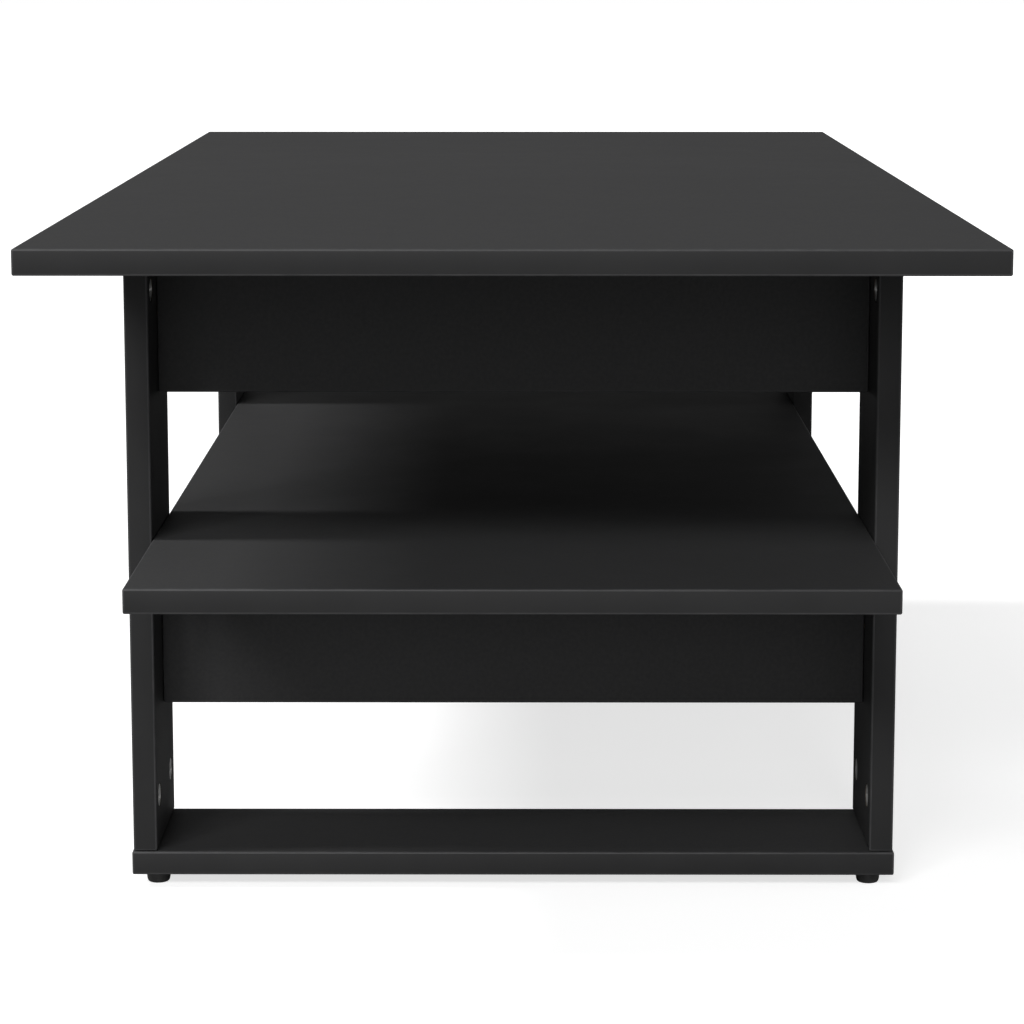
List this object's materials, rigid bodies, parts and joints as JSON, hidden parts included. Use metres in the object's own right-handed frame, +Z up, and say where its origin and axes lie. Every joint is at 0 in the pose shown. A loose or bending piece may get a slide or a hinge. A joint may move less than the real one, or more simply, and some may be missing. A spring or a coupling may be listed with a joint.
{
  "type": "coffee table",
  "caption": "Low coffee table of flat black boards: an overhanging top and a long open shelf, carried by end frames of upright legs, aprons and foot boards, joined by cam locks and dowels.",
  "frame": {"origin": "on the floor, under the middle of the table", "axes": "+Z up; +Y along the table's length, away from the near end; +X across its width"},
  "size_m": [0.55, 1.1, 0.425],
  "materials": {
    "black_melamine": "semi-matt black melamine on engineered wood, with matching edge band",
    "black_plastic": "moulded",
    "cam_zinc": "die-cast zinc, satin",
    "bolt_steel": "zinc-plated",
    "beech_dowel": "fluted beech, bare"
  },
  "bodies": {
    "table": {"bolt_foot_far_left_inner": "bolt_steel", "bolt_foot_far_left_outer": "bolt_steel", "bolt_foot_far_right_inner": "bolt_steel", "bolt_foot_far_right_outer": "bolt_steel", "bolt_foot_near_left_inner": "bolt_steel", "bolt_foot_near_left_outer": "bolt_steel", "bolt_foot_near_right_inner": "bolt_steel", "bolt_foot_near_right_outer": "bolt_steel", "bolt_top_far_left_inner": "bolt_steel", "bolt_top_far_left_outer": "bolt_steel", "bolt_top_far_right_inner": "bolt_steel", "bolt_top_far_right_outer": "bolt_steel", "bolt_top_near_left_inner": "bolt_steel", "bolt_top_near_left_outer": "bolt_steel", "bolt_top_near_right_inner": "bolt_steel", "bolt_top_near_right_outer": "bolt_steel", "dowel_lower_apron_far_left": "beech_dowel", "dowel_lower_apron_far_right": "beech_dowel", "dowel_lower_apron_near_left": "beech_dowel", "dowel_lower_apron_near_right": "beech_dowel", "dowel_shelf_far_left": "beech_dowel", "dowel_shelf_far_right": "beech_dowel", "dowel_shelf_near_left": "beech_dowel", "dowel_shelf_near_right": "beech_dowel", "dowel_upper_apron_far_left": "beech_dowel", "dowel_upper_apron_far_right": "beech_dowel", "dowel_upper_apron_near_left": "beech_dowel", "dowel_upper_apron_near_right": "beech_dowel", "foot_board_far": "black_melamine", "foot_board_near": "black_melamine", "glide_far_left": "black_plastic", "glide_far_right": "black_plastic", "glide_near_left": "black_plastic", "glide_near_right": "black_plastic", "leg_far_left": "black_melamine", "leg_far_right": "black_melamine", "leg_near_left": "black_melamine", "leg_near_right": "black_melamine", "lower_apron_far": "black_melamine", "lower_apron_near": "black_melamine", "shelf": "black_melamine", "table_top": "black_melamine", "upper_apron_far": "black_melamine", "upper_apron_near": "black_melamine"},
    "cam_foot_far_left_inner": {"cam_foot_far_left_inner": "cam_zinc"},
    "cam_foot_far_left_outer": {"cam_foot_far_left_outer": "cam_zinc"},
    "cam_foot_far_right_inner": {"cam_foot_far_right_inner": "cam_zinc"},
    "cam_foot_far_right_outer": {"cam_foot_far_right_outer": "cam_zinc"},
    "cam_foot_near_left_inner": {"cam_foot_near_left_inner": "cam_zinc"},
    "cam_foot_near_left_outer": {"cam_foot_near_left_outer": "cam_zinc"},
    "cam_foot_near_right_inner": {"cam_foot_near_right_inner": "cam_zinc"},
    "cam_foot_near_right_outer": {"cam_foot_near_right_outer": "cam_zinc"},
    "cam_top_far_left_inner": {"cam_top_far_left_inner": "cam_zinc"},
    "cam_top_far_left_outer": {"cam_top_far_left_outer": "cam_zinc"},
    "cam_top_far_right_inner": {"cam_top_far_right_inner": "cam_zinc"},
    "cam_top_far_right_outer": {"cam_top_far_right_outer": "cam_zinc"},
    "cam_top_near_left_inner": {"cam_top_near_left_inner": "cam_zinc"},
    "cam_top_near_left_outer": {"cam_top_near_left_outer": "cam_zinc"},
    "cam_top_near_right_inner": {"cam_top_near_right_inner": "cam_zinc"},
    "cam_top_near_right_outer": {"cam_top_near_right_outer": "cam_zinc"}
  },
  "joints": [
    {"name": "turn_foot_far_left_inner", "type": "hinge", "parent": "table", "child": "cam_foot_far_left_inner", "pos_m": [-0.2252, 0.262, 0.055], "axis": [1, 0, 0], "range_deg": [0, 200]},
    {"name": "turn_foot_far_left_outer", "type": "hinge", "parent": "table", "child": "cam_foot_far_left_outer", "pos_m": [-0.2252, 0.326, 0.055], "axis": [1, 0, 0], "range_deg": [0, 200]},
    {"name": "turn_foot_far_right_inner", "type": "hinge", "parent": "table", "child": "cam_foot_far_right_inner", "pos_m": [0.2252, 0.262, 0.055], "axis": [-1, 0, 0], "range_deg": [0, 200]},
    {"name": "turn_foot_far_right_outer", "type": "hinge", "parent": "table", "child": "cam_foot_far_right_outer", "pos_m": [0.2252, 0.326, 0.055], "axis": [-1, 0, 0], "range_deg": [0, 200]},
    {"name": "turn_foot_near_left_inner", "type": "hinge", "parent": "table", "child": "cam_foot_near_left_inner", "pos_m": [-0.2252, -0.262, 0.055], "axis": [1, 0, 0], "range_deg": [0, 200]},
    {"name": "turn_foot_near_left_outer", "type": "hinge", "parent": "table", "child": "cam_foot_near_left_outer", "pos_m": [-0.2252, -0.326, 0.055], "axis": [1, 0, 0], "range_deg": [0, 200]},
    {"name": "turn_foot_near_right_inner", "type": "hinge", "parent": "table", "child": "cam_foot_near_right_inner", "pos_m": [0.2252, -0.262, 0.055], "axis": [-1, 0, 0], "range_deg": [0, 200]},
    {"name": "turn_foot_near_right_outer", "type": "hinge", "parent": "table", "child": "cam_foot_near_right_outer", "pos_m": [0.2252, -0.326, 0.055], "axis": [-1, 0, 0], "range_deg": [0, 200]},
    {"name": "turn_top_far_left_inner", "type": "hinge", "parent": "table", "child": "cam_top_far_left_inner", "pos_m": [-0.2252, 0.262, 0.378], "axis": [1, 0, 0], "range_deg": [0, 200]},
    {"name": "turn_top_far_left_outer", "type": "hinge", "parent": "table", "child": "cam_top_far_left_outer", "pos_m": [-0.2252, 0.326, 0.378], "axis": [1, 0, 0], "range_deg": [0, 200]},
    {"name": "turn_top_far_right_inner", "type": "hinge", "parent": "table", "child": "cam_top_far_right_inner", "pos_m": [0.2252, 0.262, 0.378], "axis": [-1, 0, 0], "range_deg": [0, 200]},
    {"name": "turn_top_far_right_outer", "type": "hinge", "parent": "table", "child": "cam_top_far_right_outer", "pos_m": [0.2252, 0.326, 0.378], "axis": [-1, 0, 0], "range_deg": [0, 200]},
    {"name": "turn_top_near_left_inner", "type": "hinge", "parent": "table", "child": "cam_top_near_left_inner", "pos_m": [-0.2252, -0.262, 0.378], "axis": [1, 0, 0], "range_deg": [0, 200]},
    {"name": "turn_top_near_left_outer", "type": "hinge", "parent": "table", "child": "cam_top_near_left_outer", "pos_m": [-0.2252, -0.326, 0.378], "axis": [1, 0, 0], "range_deg": [0, 200]},
    {"name": "turn_top_near_right_inner", "type": "hinge", "parent": "table", "child": "cam_top_near_right_inner", "pos_m": [0.2252, -0.262, 0.378], "axis": [-1, 0, 0], "range_deg": [0, 200]},
    {"name": "turn_top_near_right_outer", "type": "hinge", "parent": "table", "child": "cam_top_near_right_outer", "pos_m": [0.2252, -0.326, 0.378], "axis": [-1, 0, 0], "range_deg": [0, 200]}
  ]
}
